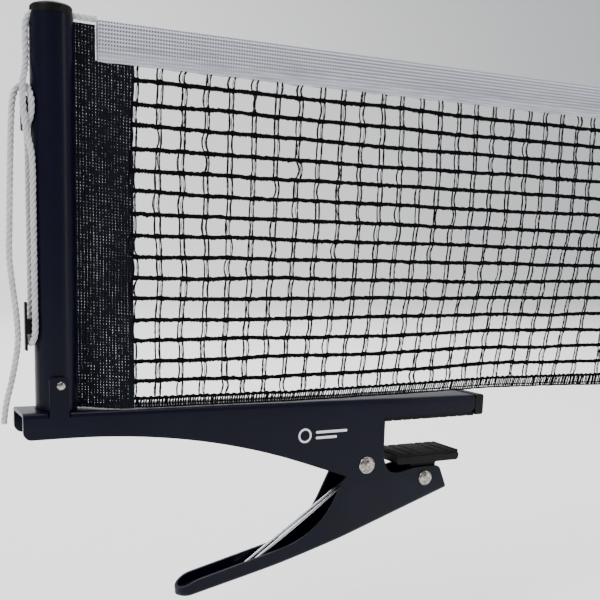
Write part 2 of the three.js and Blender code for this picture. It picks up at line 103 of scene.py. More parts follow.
def arm_top(x):
    """Height of the arm's top, which falls towards the finger's end."""
    share = (x - ARM_LEFT) / (FINGER_END - ARM_LEFT)
    return ARM_TOP_LEFT + share * (ARM_TOP_RIGHT - ARM_TOP_LEFT)


def added(name, data):
    """A new object in the scene."""
    thing = bpy.data.objects.new(name, data)
    bpy.context.collection.objects.link(thing)
    return thing


# ---- camera
def make_camera():
    yaw, pitch, roll = (math.radians(a) for a in (25.705, 9.479, 1.344))
    ahead = Vector((math.sin(yaw) * math.cos(pitch), math.cos(yaw) * math.cos(pitch), -math.sin(pitch)))
    level = Vector((math.cos(yaw), -math.sin(yaw), 0))
    upward = level.cross(ahead)
    right = math.cos(roll) * level + math.sin(roll) * upward
    top = math.cos(roll) * upward - math.sin(roll) * level
    data = bpy.data.cameras.new("camera")
    data.lens, data.sensor_width = 53.583, 36
    data.shift_x, data.shift_y = 0.07, 0.16667
    data.clip_start, data.clip_end = 0.01, 20
    camera = added("camera", data)
    turn = Matrix((right, top, -ahead)).transposed().to_4x4()
    camera.matrix_world = Matrix.Translation(Vector((-241.39, -331.66, 72.46)) * MM) @ turn
    bpy.context.scene.camera = camera


make_camera()


# ---- materials
# Pitch of the top tape's ribs, and of the dots between them
TAPE_RIB, TAPE_DOT = 1.3, 1.1


class Nodes:
    """Builds one material's node tree."""

    def __init__(self, name):
        self.material = bpy.data.materials.new(name)
        self.material.use_nodes = True
        self.tree = self.material.node_tree
        self.shader = self.tree.nodes["Principled BSDF"]
        place = self.tree.nodes.new("ShaderNodeTexCoord")
        self.place = place.outputs["Object"]

    def add(self, kind, inputs=None, **settings):
        node = self.tree.nodes.new(kind)
        for key, value in settings.items():
            setattr(node, key, value)
        for key, value in (inputs or {}).items():
            self.put(value, node.inputs[key])
        return node

    def put(self, value, socket):
        if isinstance(value, bpy.types.NodeSocket):
            self.tree.links.new(value, socket)
        else:
            socket.default_value = value

    def set(self, **values):
        """Shader sockets by name, with _ for a space."""
        for key, value in values.items():
            self.put(value, self.shader.inputs[key.replace("_", " ")])

    def noise(self, size_mm, detail=3.0, roughness=0.55, place=None):
        scale = 1 / (size_mm * MM)
        inputs = {"Vector": place or self.place, "Scale": scale, "Detail": detail, "Roughness": roughness}
        return self.add("ShaderNodeTexNoise", inputs).outputs["Fac"]

    def between(self, fac, low, high, from_low=0.0, from_high=1.0):
        inputs = {"Value": fac, "From Min": from_low, "From Max": from_high, "To Min": low, "To Max": high}
        return self.add("ShaderNodeMapRange", inputs).outputs["Result"]

    def colours(self, fac, *stops):
        ramp = self.add("ShaderNodeValToRGB", {"Fac": fac})
        elements = ramp.color_ramp.elements
        while len(elements) < len(stops):
            elements.new(0.5)
        for element, (position, colour) in zip(elements, stops):
            element.position = position
            element.color = (*colour, 1)
        return ramp.outputs["Color"]

    def mix(self, fac, a, b):
        node = self.add("ShaderNodeMix", data_type="RGBA", blend_type="MIX")
        for socket, value in ((node.inputs[0], fac), (node.inputs[6], a), (node.inputs[7], b)):
            if isinstance(value, tuple):
                value = (*value, 1)
            self.put(value, socket)
        return node.outputs[2]

    def maths(self, operation, a, b=0.0):
        node = self.add("ShaderNodeMath", operation=operation)
        self.put(a, node.inputs[0])
        self.put(b, node.inputs[1])
        return node.outputs[0]

    def bump(self, height, depth_mm, strength=1.0, normal=None):
        inputs = {"Height": height, "Distance": depth_mm * MM, "Strength": strength}
        if normal is not None:
            inputs["Normal"] = normal
        return self.add("ShaderNodeBump", inputs).outputs["Normal"]


def powder_coat():
    m = Nodes("navy_powder_coat")
    patches = m.noise(18, 2)
    specks = m.noise(0.5, 2)
    deep = m.colours(patches, (0.3, (0.0009, 0.0012, 0.0070)), (0.7, (0.0014, 0.0018, 0.0098)))
    colour = m.mix(m.between(specks, 0, 0.3, 0.6, 0.8), deep, (0.003, 0.0036, 0.0145))
    orange_peel = m.bump(m.noise(1.4, 2), 0.05, 0.5)
    grain = m.bump(m.noise(0.22, 1), 0.015, 0.5, orange_peel)
    m.set(Base_Color=colour, Roughness=m.between(m.noise(6, 4), 0.24, 0.36), Normal=grain)
    m.set(Specular_IOR_Level=0.14)
    return m.material


def moulded_plastic(name, colour, roughness):
    m = Nodes(name)
    lighter = tuple(c * 1.7 + 0.002 for c in colour)
    base = m.mix(m.between(m.noise(5, 4), 0, 1, 0.35, 0.7), colour, lighter)
    spark = m.noise(0.28, 2)
    surface = m.bump(m.noise(2.5, 2), 0.05, 0.4, m.bump(spark, 0.03, 0.6))
    m.set(Base_Color=base, Roughness=m.between(spark, roughness - 0.1, roughness + 0.1), Normal=surface)
    m.set(Specular_IOR_Level=0.12)
    return m.material


def rivet_metal():
    m = Nodes("rivet_nickel")
    blotches = m.noise(1.3, 4, 0.6)
    dull, plain, bright = (0.09, 0.08, 0.065), (0.30, 0.28, 0.245), (0.52, 0.5, 0.46)
    colour = m.colours(blotches, (0.32, dull), (0.5, plain), (0.7, bright))
    dents = m.bump(m.noise(1.9, 2), 0.35, 0.6, m.bump(m.noise(0.3, 2), 0.02, 0.5))
    m.set(Base_Color=colour, Metallic=1.0, Roughness=m.between(blotches, 0.14, 0.34), Normal=dents)
    return m.material


def spring_wire():
    m = Nodes("zinc_wire")
    drawn = m.noise(0.35, 3)
    colour = m.colours(drawn, (0.3, (0.55, 0.57, 0.6)), (0.7, (0.8, 0.82, 0.84)))
    m.set(Base_Color=colour, Metallic=1.0, Roughness=m.between(drawn, 0.16, 0.32))
    m.set(Normal=m.bump(m.noise(0.7, 3), 0.02, 0.5))
    return m.material


def yarn(name, dark, light, fibre_mm, roughness=0.9, sheen=0.2):
    """Spun or knitted thread: fibres of two shades with a soft nap."""
    m = Nodes(name)
    fibres = m.noise(fibre_mm, 4, 0.65)
    patches = m.noise(fibre_mm * 25, 2)
    colour = m.colours(fibres, (0.32, dark), (0.68, light))
    shaded = m.mix(m.between(patches, 0, 0.4, 0.3, 0.7), colour, dark)
    m.set(Base_Color=shaded, Roughness=roughness, Normal=m.bump(fibres, fibre_mm * 0.35, 0.8))
    m.set(Sheen_Weight=sheen, Sheen_Roughness=0.5, Specular_IOR_Level=0.06)
    return m.material


def tape_cloth():
    """Woven tape: pale ribs along its length, with darker dotted rows between them. The rows are the weave's
    dots with painted shade in the grooves between the ribs. The tape is also darker in streaks towards the
    bottom.
    """
    m = Nodes("tape_weave_and_groove_shade")
    apart = m.add("ShaderNodeSeparateXYZ", {"Vector": m.place})
    height = m.maths("MULTIPLY", apart.outputs["Z"], 2 * math.pi / (TAPE_RIB * MM))
    # Painted shade: the rows between the ribs are coloured darker to stand in for the shade in the grooves
    rows = m.between(m.maths("SINE", height), 0, 1, -0.75, 0.55)
    along = m.maths("MULTIPLY", apart.outputs["X"], 2 * math.pi / (TAPE_DOT * MM))
    dots = m.between(m.maths("SINE", along), 0, 1, -0.5, 0.5)
    thread = m.noise(0.3, 3)
    drawn_out = m.add("ShaderNodeVectorMath", {0: m.place, 1: (0.06, 1, 1)}, operation="MULTIPLY")
    streaks = m.noise(0.9, 2, place=drawn_out.outputs["Vector"])
    # The tape turns darker grey in streaks towards its bottom
    darker_towards_bottom = m.between(apart.outputs["Z"], 0.15, 0.75, (TAPE_TOP - 3.5) * MM, (TAPE_BOTTOM + 5.5) * MM)
    rib = m.colours(thread, (0.3, (0.46, 0.47, 0.53)), (0.7, (0.76, 0.77, 0.82)))
    # The dark end of this colour is painted groove shade, laid over the weave's dotted pattern
    dots_and_groove_shade = m.mix(dots, (0.10, 0.10, 0.14), (0.50, 0.51, 0.57))
    weave_and_groove_shade = m.mix(rows, rib, dots_and_groove_shade)
    tight = m.between(apart.outputs["Z"], 0.35, 1.0, (TAPE_BOTTOM + 2.0) * MM, (TAPE_BOTTOM + 5.0) * MM)
    weave_and_groove_shade = m.mix(tight, (0.58, 0.59, 0.65), weave_and_groove_shade)
    # Mask of the streaky darkening towards the bottom
    patchy_mask = m.maths("MULTIPLY", darker_towards_bottom, m.between(streaks, 0, 0.75, 0.4, 0.65))
    colour = m.mix(patchy_mask, weave_and_groove_shade, (0.26, 0.26, 0.31))
    m.set(Base_Color=colour, Roughness=0.85, Normal=m.bump(thread, 0.06, 0.7))
    m.set(Sheen_Weight=0.05, Sheen_Roughness=0.5, Specular_IOR_Level=0.1)
    return m.material


def mark_ink():
    m = Nodes("mark_ink")
    patchy_mask = m.noise(0.6, 4)
    m.set(Base_Color=m.colours(patchy_mask, (0.3, (0.62, 0.64, 0.70)), (0.6, (0.84, 0.85, 0.88))))
    m.set(Roughness=m.between(patchy_mask, 0.4, 0.6), Normal=m.bump(patchy_mask, 0.01, 0.4))
    return m.material


NAVY = powder_coat()
PLASTIC = moulded_plastic("black_plastic", (0.0026, 0.0025, 0.0026), 0.42)
RUBBER = moulded_plastic("grip_rubber", (0.0045, 0.0045, 0.0048), 0.7)
NICKEL = rivet_metal()
ZINC = spring_wire()
CORD_YARN = yarn("cord_yarn", (0.36, 0.36, 0.38), (0.76, 0.76, 0.76), 0.14, 0.8, 0.1)
NET_YARN = yarn("net_yarn", (0.001, 0.001, 0.0013), (0.004, 0.004, 0.0055), 0.16, 0.9, 0.0)
BAND_YARN = yarn("band_yarn", (0.001, 0.001, 0.002), (0.012, 0.013, 0.024), 0.24, 0.8, 0.02)
TAPE = tape_cloth()
INK = mark_ink()


# ---- mesh helpers
def ease(share):
    """A smooth step from 0 to 1."""
    share = np.clip(share, 0, 1)
    return share * share * (3 - 2 * share)


def link(name, mesh, material):
    mesh.materials.clear()
    mesh.materials.append(material)
    return added(name, mesh)


def from_points(name, points, faces, material, sharp_degrees=180):
    """A piece from points in millimetres."""
    mesh = bpy.data.meshes.new(name)
    points = np.asarray(points, float) * MM
    mesh.from_pydata(points.tolist(), [], faces)
    mesh.update()
    smooth(mesh, sharp_degrees)
    return link(name, mesh, material)


def smooth(mesh, sharp_degrees):
    mesh.polygons.foreach_set("use_smooth", [True] * len(mesh.polygons))
    if sharp_degrees < 180:
        mesh.set_sharp_from_angle(angle=math.radians(sharp_degrees))


def rounded(corners, step_degrees=7.5):
    """The points of a closed outline of corners (u, v, radius)."""
    points = []
    count = len(corners)
    for i, corner in enumerate(corners):
        here = Vector(corner[:2])
        radius = corner[2] if len(corner) > 2 else 0
        if radius == 0:
            points.append(tuple(here))
            continue
        back = (Vector(corners[i - 1][:2]) - here).normalized()
        onward = (Vector(corners[(i + 1) % count][:2]) - here).normalized()
        half = math.acos(max(-1, min(1, back.dot(onward)))) / 2
        centre = here + (back + onward).normalized() * radius / math.sin(half)
        start = here + back * radius / math.tan(half) - centre
        sweep = math.pi - 2 * half
        if back.x * onward.y - back.y * onward.x > 0:
            sweep = -sweep
        steps = max(2, math.ceil(abs(math.degrees(sweep)) / step_degrees))
        for k in range(steps + 1):
            angle = sweep * k / steps
            turned = Matrix.Rotation(angle, 2) @ start
            points.append(tuple(centre + turned))
    return points


def ring_faces(first, count, sides):
    """Faces between count rings of points, whose first point is number first."""
    rows = first + sides * np.arange(count - 1)[:, None]
    around = np.arange(sides)[None]
    nxt = (around + 1) % sides
    quads = np.stack([rows + around, rows + nxt, rows + sides + nxt, rows + sides + around], axis=-1)
    return [tuple(quad) for quad in quads.reshape(-1, 4).tolist()]


def tube_faces(first, count, sides):
    """Faces of a tube of count rings, closed at both ends."""
    last = first + sides * (count - 1)
    ends = [tuple(range(first, first + sides))[::-1], tuple(range(last, last + sides))]
    return ring_faces(first, count, sides) + ends


def part_mesh(points, faces):
    """A loose solid in millimetres, its faces turned outwards."""
    mesh = bpy.data.meshes.new("solid")
    mesh.from_pydata([tuple(p) for p in points], [], faces)
    solid = bmesh.new()
    solid.from_mesh(mesh)
    bmesh.ops.recalc_face_normals(solid, faces=solid.faces)
    solid.to_mesh(mesh)
    solid.free()
    return mesh


def prism(axis, corners, low, high, lean=0.0, step_degrees=7.5):
    """An outline carried along x, y or z; lean raises it along x."""
    ring = rounded(corners, step_degrees)

    def along(w):
        if axis == "x":
            return [(w, u, v + lean * w) for u, v in ring]
        return [(u, w, v) if axis == "y" else (u, v, w) for u, v in ring]

    return loft([along(low), along(high)])


def block(x0, x1, y0, y1, z0, z1):
    return prism("z", [(x0, y0), (x1, y0), (x1, y1), (x0, y1)], z0, z1)


def circle(radius, at, sides):
    angles = [2 * math.pi * i / sides for i in range(sides)]
    return [(at[0] + radius * math.cos(angle), at[1] + radius * math.sin(angle)) for angle in angles]


def bar(axis, radius, low, high, at, sides=48):
    return prism(axis, circle(radius, at, sides), low, high)


def drill(radius, middle, sides=48):
    """A cutter across the whole clamp, for a hole about middle."""
    return bar("y", radius, -CLEAR_OF_SIDES, CLEAR_OF_SIDES, (middle[0], middle[2]), sides)


def loft(rings):
    """A closed solid through rings of equal point counts."""
    points = [p for ring in rings for p in ring]
    return part_mesh(points, tube_faces(0, len(rings), len(rings[0])))


def combine(base, *tools, how="DIFFERENCE"):
    """Cuts, joins or keeps a solid mesh with others, all in millimetres."""
    holder = added("base", base)
    for tool in tools:
        other = added("tool", tool)
        change = holder.modifiers.new("change", "BOOLEAN")
        change.operation, change.solver, change.object = how, "EXACT", other
        graph = bpy.context.evaluated_depsgraph_get()
        result = bpy.data.meshes.new_from_object(holder.evaluated_get(graph))
        holder.modifiers.clear()
        holder.data = result
        bpy.data.objects.remove(other)
    result = holder.data
    bpy.data.objects.remove(holder)
    return result


def machined(name, mesh, material, edge_mm, segments=3):
    """Turns a solid in millimetres into a piece in metres with softened edges."""
    clean = bmesh.new()
    clean.from_mesh(mesh)
    bmesh.ops.remove_doubles(clean, verts=clean.verts, dist=0.004)
    bmesh.ops.dissolve_limit(clean, angle_limit=0.0008, verts=clean.verts, edges=clean.edges)
    bmesh.ops.scale(clean, vec=(MM, MM, MM), verts=clean.verts)
    clean.to_mesh(mesh)
    clean.free()
    smooth(mesh, 180)
    piece = link(name, mesh, material)
    edge = piece.modifiers.new("edge", "BEVEL")
    edge.width, edge.segments = edge_mm * MM, segments
    edge.limit_method, edge.angle_limit = "ANGLE", math.radians(32)
    edge.harden_normals = True
    edge.miter_outer = "MITER_ARC"
    return piece


def lathe(profile, at, axis, sides):
    """A solid in millimetres turned from profile points (radius, along), from axis to axis."""
    points, faces, rings = [], [], []
    for radius, along in profile:
        ring = circle(radius, (0, 0), sides) if radius else [(0, 0)]
        rings.append([len(points) + i % len(ring) for i in range(sides)])
        points += [(u, v, along) for u, v in ring]
    for low, high in zip(rings, rings[1:]):
        for i in range(sides):
            j = (i + 1) % sides
            corners = dict.fromkeys((low[i], low[j], high[j], high[i]))
            if len(corners) > 2:
                faces.append(tuple(corners))
    points = np.array(points)
    if axis == "y":
        points = points[:, [0, 2, 1]]
    return part_mesh(points + np.array(at), faces)


def finished(name, mesh, material, sharp_degrees):
    """Turns a solid in millimetres into a piece in metres as it is."""
    mesh.transform(Matrix.Scale(MM, 4))
    smooth(mesh, sharp_degrees)
    return link(name, mesh, material)


def dome(radius, height, start, steps=10):
    """Profile points of a rivet head from its rim at start to its crown on the axis."""
    angles = [math.pi / 2 * k / steps for k in range(steps)]
    rim = [(radius * math.cos(angle), start + height * math.sin(angle)) for angle in angles]
    return [*rim, (0, start + height)]


def spline(points, step):
    """Points at equal steps along a centripetal Catmull-Rom curve."""
    p = np.asarray(points, float)
    p = np.vstack([2 * p[0] - p[1], p, 2 * p[-1] - p[-2]])
    fine = []
    for a, b, c, d in zip(p, p[1:], p[2:], p[3:]):
        t = [0.0]
        for u, v in ((a, b), (b, c), (c, d)):
            t.append(t[-1] + max(1e-6, np.linalg.norm(v - u)) ** 0.5)
        s = np.linspace(t[1], t[2], 24, endpoint=False)[:, None]
        ab = (t[1] - s) / (t[1] - t[0]) * a + (s - t[0]) / (t[1] - t[0]) * b
        bc = (t[2] - s) / (t[2] - t[1]) * b + (s - t[1]) / (t[2] - t[1]) * c
        cd = (t[3] - s) / (t[3] - t[2]) * c + (s - t[2]) / (t[3] - t[2]) * d
        abc = (t[2] - s) / (t[2] - t[0]) * ab + (s - t[0]) / (t[2] - t[0]) * bc
        bcd = (t[3] - s) / (t[3] - t[1]) * bc + (s - t[1]) / (t[3] - t[1]) * cd
        fine.append((t[2] - s) / (t[2] - t[1]) * abc + (s - t[1]) / (t[2] - t[1]) * bcd)
    fine = np.vstack([*fine, p[-2][None]])
    return even(fine, step)


def point_rows(*coordinates):
    """Points as rows, from coordinates that are each an array or one number."""
    return np.stack(np.broadcast_arrays(*coordinates), axis=1)


def length_along(line):
    """The length of a line up to each of its points."""
    return np.concatenate([[0], np.cumsum(np.linalg.norm(np.diff(line, axis=0), axis=1))])


def even(line, step):
    """The same line with points at equal steps."""
    along = length_along(line)
    marks = np.linspace(0, along[-1], max(2, round(along[-1] / step) + 1))
    return np.stack([np.interp(marks, along, line[:, k]) for k in range(3)], axis=1)


def frames(line):
    """Two directions across the line at each point, turning no more than the line does."""
    ahead = np.gradient(line, axis=0)
    ahead /= np.linalg.norm(ahead, axis=1)[:, None]
    side = np.cross(ahead[0], [0, 0, 1]) if abs(ahead[0][2]) < 0.9 else np.cross(ahead[0], [0, 1, 0])
    sides = []
    for direction in ahead:
        side = side - direction * side.dot(direction)
        side /= np.linalg.norm(side)
        sides.append(side)
    sides = np.array(sides)
    return sides, np.cross(ahead, sides)


def tubes(lines, radii, sides=6):
    """Points and faces of closed tubes; each radius is a number or one for each point."""
    points, faces, first = [], [], 0
    angles = 2 * np.pi * np.arange(sides) / sides
    for line, radius in zip(lines, radii):
        line = np.asarray(line, float)
        across, up = frames(line)
        radius = np.broadcast_to(np.asarray(radius, float), len(line))[:, None, None]
        ring = across[:, None] * np.cos(angles)[None, :, None] + up[:, None] * np.sin(angles)[None, :, None]
        points.append((line[:, None] + radius * ring).reshape(-1, 3))
        faces += tube_faces(first, len(line), sides)
        first += sides * len(line)
    return np.vstack(points), faces


def place(piece, body, *nodes):
    """Says what a piece moves with, and hides the solids that it stands for."""
    if nodes:
        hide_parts(*nodes)
    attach(piece, body)


# ---- cord
# Height of the cord's middle over the cap, and the points of its route, x from the post's axis
CORD_Z = POST_TOP + 1.25
CORD_ROUTE = [
    (16.2, 0, 153.1), (12, 0, 153.1), (8, 0, 153.2), (3, 0, CORD_Z), (-3, 0, CORD_Z),
    (-6.1, 0, 152.7), (-8.2, 0, 150.9), (-9.05, 0, 148), (-9.1, 0, 142), (-9.2, -0.2, 136),
    (-9.9, -1.8, 132.4), (-10.9, -3.5, 129), (-11.2, -4.1, 124), (-11, -4.3, 118),
    (-10, -4.2, 111.5), (-8.6, -3.95, 105.5), (-8.2, -3.9, 99.8), (-8.2, -3.9, 84),
    (-8.2, -3.9, 66), (-8.2, -3.95, 49), (-8.2, -4.1, 43.4), (-8.4, -3.6, 39.8), (-8.9, -2, 37.7),
    (-9.05, 0, 37), (-8.9, 2, 37.7), (-8.4, 3.6, 39.8), (-8.2, 4.1, 43.4), (-8.2, 3.95, 49),
    (-8.2, 3.9, 66), (-8.2, 3.9, 84), (-8.2, 3.9, 99.8), (-8.2, 3.9, 106), (-8.4, 3.5, 110.4),
    (-8.9, 1.7, 113.4), (-9.05, -0.3, 114.6), (-8.7, -2.5, 116), (-8.25, -3.9, 119.2),
    (-8.3, -3.9, 123.1), (-8.8, -2.3, 126.6), (-9.05, 0, 127.4), (-8.9, 2.1, 128.2),
    (-9.4, 3.9, 128.6), (-11.3, 4.6, 127.9), (-12.7, 4.1, 125.2), (-13.6, 3, 121.4),
    (-14.3, 1.7, 115), (-14.9, 0.6, 106), (-15.4, 0, 96), (-15.9, 0, 80), (-16.2, 0, 68),
    (-15.2, 0, 57), (-14.1, 0, 47), (-13.8, 0, 38), (-14.7, 0, 31), (-16.4, 0, 23),
    (-18.4, 0, 15), (-19.5, 0, 7.5),
]
CORD_DIAMETER, CORD_LAY, CORD_STEP = 2.4, 6.6, 0.4


def make_cord():
    """Three strands twisted round one line."""
    centre = spline([(POST_X + x, y, z) for x, y, z in CORD_ROUTE], CORD_STEP)
    across, up = frames(centre)
    along = CORD_STEP * np.arange(len(centre))
    strand = CORD_DIAMETER / 2 * 0.48
    lines = []
    for k in range(3):
        angle = (2 * np.pi * (along / CORD_LAY + k / 3))[:, None]
        lines.append(centre + strand * 1.08 * (across * np.cos(angle) + up * np.sin(angle)))
    radii = [strand * (1 + 0.03 * noise.standard_normal(len(centre))) for _ in lines]
    points, faces = tubes(lines, radii, 10)
    cord = from_points("cord", points, faces, CORD_YARN)
    place(cord, "arm", "cord_top_run", "cord_wound", "cord_tail")


make_cord()


# ---- arm
EAR_LEFT, EAR_RIGHT, EAR_TOP, EAR_NOTCH = POST_X - 4.6, POST_X + 2.6, 25.2, 0.6
ARM_BEND = 2.1


def channel_section(low, high):
    """Section of the arm's folded channel, open below, as a ring of (y, z)."""
    outside, inside, bend = ARM_HALF_WIDTH, ARM_HALF_WIDTH - SHEET, ARM_BEND - SHEET
    return [
        (-outside, low), (-outside, high, ARM_BEND), (outside, high, ARM_BEND), (outside, low),
        (inside, low), (inside, high - SHEET, bend), (-inside, high - SHEET, bend), (-inside, low),
    ]


def make_arm():
    """A folded channel cut to the arm's side view, with two ears that hold the post."""
    lean = (ARM_TOP_RIGHT - ARM_TOP_LEFT) / (FINGER_END - ARM_LEFT)
    channel = prism("x", channel_section(-60, arm_top(0)), ARM_LEFT - 5, FINGER_END + 5, lean=lean)
    side = [
        (ARM_LEFT, 40), (ARM_LEFT, 2.3, 3), (-113.4, 2.3, 290), (STOP_X, -29.8, 8.4),
        (STOP_X, 1.6), (FINGER_END, 1.6, 3), (FINGER_END, 40),
    ]
    arm = combine(channel, prism("y", side, -15, 15, step_degrees=1.2), how="INTERSECT")
    ear = [(EAR_LEFT, 7), (EAR_RIGHT, 7), (EAR_RIGHT, EAR_TOP, 1.5), (EAR_LEFT, EAR_TOP, 1.5)]
    inside = ARM_HALF_WIDTH - SHEET
    for low, high in ((-ARM_HALF_WIDTH, -inside), (inside, ARM_HALF_WIDTH)):
        arm = combine(arm, prism("y", ear, low, high), how="UNION")
        for x in (EAR_LEFT - EAR_NOTCH, EAR_RIGHT):
            y0, y1 = (low - 2, high + 1.2) if low < 0 else (low - 1.2, high + 2)
            arm = combine(arm, block(x, x + EAR_NOTCH, y0, y1, 10.2, 30))
    arm = combine(
        arm,
        bar("z", POST_RADIUS + 0.2, 5, 60, (POST_X, 0), 72),
        drill(3.1, PIVOT),
    )
    place(machined("arm_plate", arm, NAVY, 0.3), "arm", "arm_bracket")


make_arm()


# ---- jaw insert and grips
def grip_outline(x0, x1, low, high, grooves, depth):
    """A flat pad seen from the side, grooved on its low or high face."""
    face, back = (low, high) if depth > 0 else (high, low)
    corners = [(x0, back), (x0, face, 0.3)]
    floor = face + depth
    for x in grooves:
        corners += [(x - 0.5, face, 0.2), (x - 0.3, floor), (x + 0.3, floor), (x + 0.5, face, 0.2)]
    return [*corners, (x1, face, 0.3), (x1, back)]


def make_insert():
    """The finger's filling with its lip and end block, and the upper grip under it."""
    low, high = box_mm("jaw_insert")
    inside = ARM_HALF_WIDTH - SHEET - 0.2
    lip_low, lip_high = 1.42, 1.58
    start, lip_end, core_end, cap_start = STOP_X + 0.4, FINGER_END - 0.4, FINGER_END + 0.6, FINGER_END + 0.3
    lip = block(start, lip_end, -ARM_HALF_WIDTH, ARM_HALF_WIDTH, lip_low, lip_high)
    core_side = [
        (start, lip_low), (core_end, lip_low),
        (core_end, arm_top(FINGER_END) - 1.7), (start, arm_top(start) - 1.75),
    ]
    core = prism("y", core_side, -inside, inside)
    cap_low, cap_high = low[2], high[2] + 0.4
    cap_side = [
        (cap_start, cap_low, 0.3), (high[0], cap_low, 0.9),
        (high[0], cap_high, 1.1), (cap_start, cap_high, 0.3),
    ]
    cap = prism("y", cap_side, -ARM_HALF_WIDTH, ARM_HALF_WIDTH)
    insert = combine(lip, core, cap, how="UNION")
    place(machined("jaw_insert_moulding", insert, PLASTIC, 0.22), "arm", "jaw_insert")

    low, high = box_mm("upper_grip")
    outline = grip_outline(start, high[0], 0, high[2], [x for x in range(-20, 21, 5) if x], 0.5)
    pad = prism("y", outline, -9.45, 9.45)
    place(machined("upper_grip_pad", pad, RUBBER, 0.12, 2), "arm", "upper_grip")


make_insert()


# ---- lever
LEVER_SHEET, HANDLE_HALF_WIDTH = 1.2, 5.7
# A little over 15 degrees, so that every right-angled corner gets six steps
SIXTH_OF_CORNER = 15.01


def lever_floor(x):
    """Height of the lever's underside: two straight slopes that meet in a soft bend."""
    bend_x, bend_z = -68.3, -60.0
    left = bend_z + (x - bend_x) * 0.2
    right = bend_z + (x - bend_x) * 0.3234
    return 0.5 * (left + right + math.sqrt((left - right) ** 2 + 0.9))


def lever_half_width(x):
    """The handle is narrower than the jaw arm, with a soft change between them."""
    return HANDLE_HALF_WIDTH + 2.0 * float(ease((x + 71) / 33))


def lever_solid(inset, lift, bend):
    """The filled shape of the lever's channel, drawn in by inset all round."""
    end = HANDLE_END + inset
    radius = HANDLE_HALF_WIDTH - inset
    rings = []
    nose = [end + radius * (1 - math.cos(a * math.pi / 28)) for a in range(1, 14)]
    body = np.arange(end + radius, 16.1, 1.5).tolist()
    for x in [end + 0.005, *nose, *body]:
        half = lever_half_width(x) - inset
        if x < end + radius:
            half = max(0.35, math.sqrt(max(0, radius**2 - (end + radius - x) ** 2)))
        rise = 1.3 * (1 - half / radius) if x < end + radius else 0
        floor = lever_floor(x) + lift + rise
        low = min(bend, half * 0.8)
        section = [(-half, 5), (-half, floor, low), (half, floor, low), (half, 5)]
        rings.append([(x, y, z) for y, z in rounded(section, SIXTH_OF_CORNER)])
    return loft(rings)


def make_lever():
    """One tapering channel: the handle with its rounded end, and the lower jaw's arm."""
    side = [
        (-40.6, -11, 7.4), (-40.6, -21.5, 8), (-55.2, -49.8, 36), (-111, -62.2, 14),
        (HANDLE_END - 3, -67.6), (HANDLE_END - 3, -80), (12.4, -80), (12.4, -33.9),
        (7.6, -22.6, 3), (-6, -22.6, 10), (-19.5, -25.2, 6), (-25.2, -11, 6),
    ]
    lever = combine(lever_solid(0, 0, 2.2), prism("y", side, -15, 15, step_degrees=3), how="INTERSECT")
    lever = combine(
        lever,
        lever_solid(LEVER_SHEET, LEVER_SHEET, 1.1),
        drill(3.3, PIVOT),
        drill(2.5, JAW_PIN),
    )
    place(machined("lever_channel_plate", lever, NAVY, 0.38), "lever", "lever_channel")


make_lever()


# ---- rivets and pins
def make_rivets():
    def rivet(name, node, shank, head, height, body):
        half = box_mm(node)[1][1] - height
        lower = [(r, -a) for r, a in reversed(dome(head, height, half))]
        profile = [*lower, (shank, -half), (shank, half), *dome(head, height, half)]
        piece = finished(name, lathe(profile, middle_mm(node), "y", 64), NICKEL, 40)
        place(piece, body, node)

    rivet("main_pivot_rivet", "pivot_rivet", 3.0, 4.0, 1.5, "arm")
    rivet("jaw_pin_rivet", "jaw_pin", 2.4, 3.6, 1.4, "lever")
    rivet("post_foot_rivet", "post_rivet", 1.2, 1.65, 0.8, "arm")


make_rivets()


# ---- jaw shoe
def make_shoe():
    """The swivelling plate with its two lugs, and the lower grip on it."""
    low, high = box_mm("jaw_shoe")
    top, under = high[2], high[2] - 3.4
    plate_side = [(low[0], under, 1.6), (high[0], under, 1.6), (high[0], top, 0.6), (low[0], top, 0.6)]
    plate = prism("y", plate_side, -9.5, 9.5)
    lug_outline = [(-5, JAW_PIN[2] - 4.4, 4.2), (5, JAW_PIN[2] - 4.4, 4.2), (7.5, top - 1), (-7.5, top - 1)]
    lugs = combine(prism("y", lug_outline, -5.9, 5.9), block(-20, 20, -2.2, 2.2, -50, top - 3))
    shoe = combine(plate, lugs, how="UNION")
    shoe = combine(shoe, drill(2.5, JAW_PIN))
    place(machined("jaw_shoe_moulding", shoe, PLASTIC, 0.25), "jaw_pad", "jaw_shoe")

    low, high = box_mm("lower_grip")
    outline = grip_outline(low[0], high[0], low[2], high[2], [x for x in range(-15, 16, 5) if x], -0.5)
    pad = prism("y", outline, -9.3, 9.3)
    place(machined("lower_grip_pad", pad, RUBBER, 0.12, 2), "jaw_pad", "lower_grip")


make_shoe()


# ---- torsion spring
WIRE_RADIUS, COIL_RADIUS, COIL_PITCH, COIL_Y = 0.75, 5.3, 1.65, 1.25
MIDDLE_LEG_TIP, OUTER_LEG_TIP = (-86, -60.6), (-73, 8.0)
SPRING_FINGER_Y, SPRING_BEND = 1.7, 1.5
SPRING_OVERLAP = math.radians(32)


def leaving_angle(tip, side):
    """Where on the coil a straight leg to tip leaves it."""
    dx, dz = tip[0] - PIVOT[0], tip[1] - PIVOT[2]
    return math.atan2(dz, dx) + side * math.acos(COIL_RADIUS / math.hypot(dx, dz))


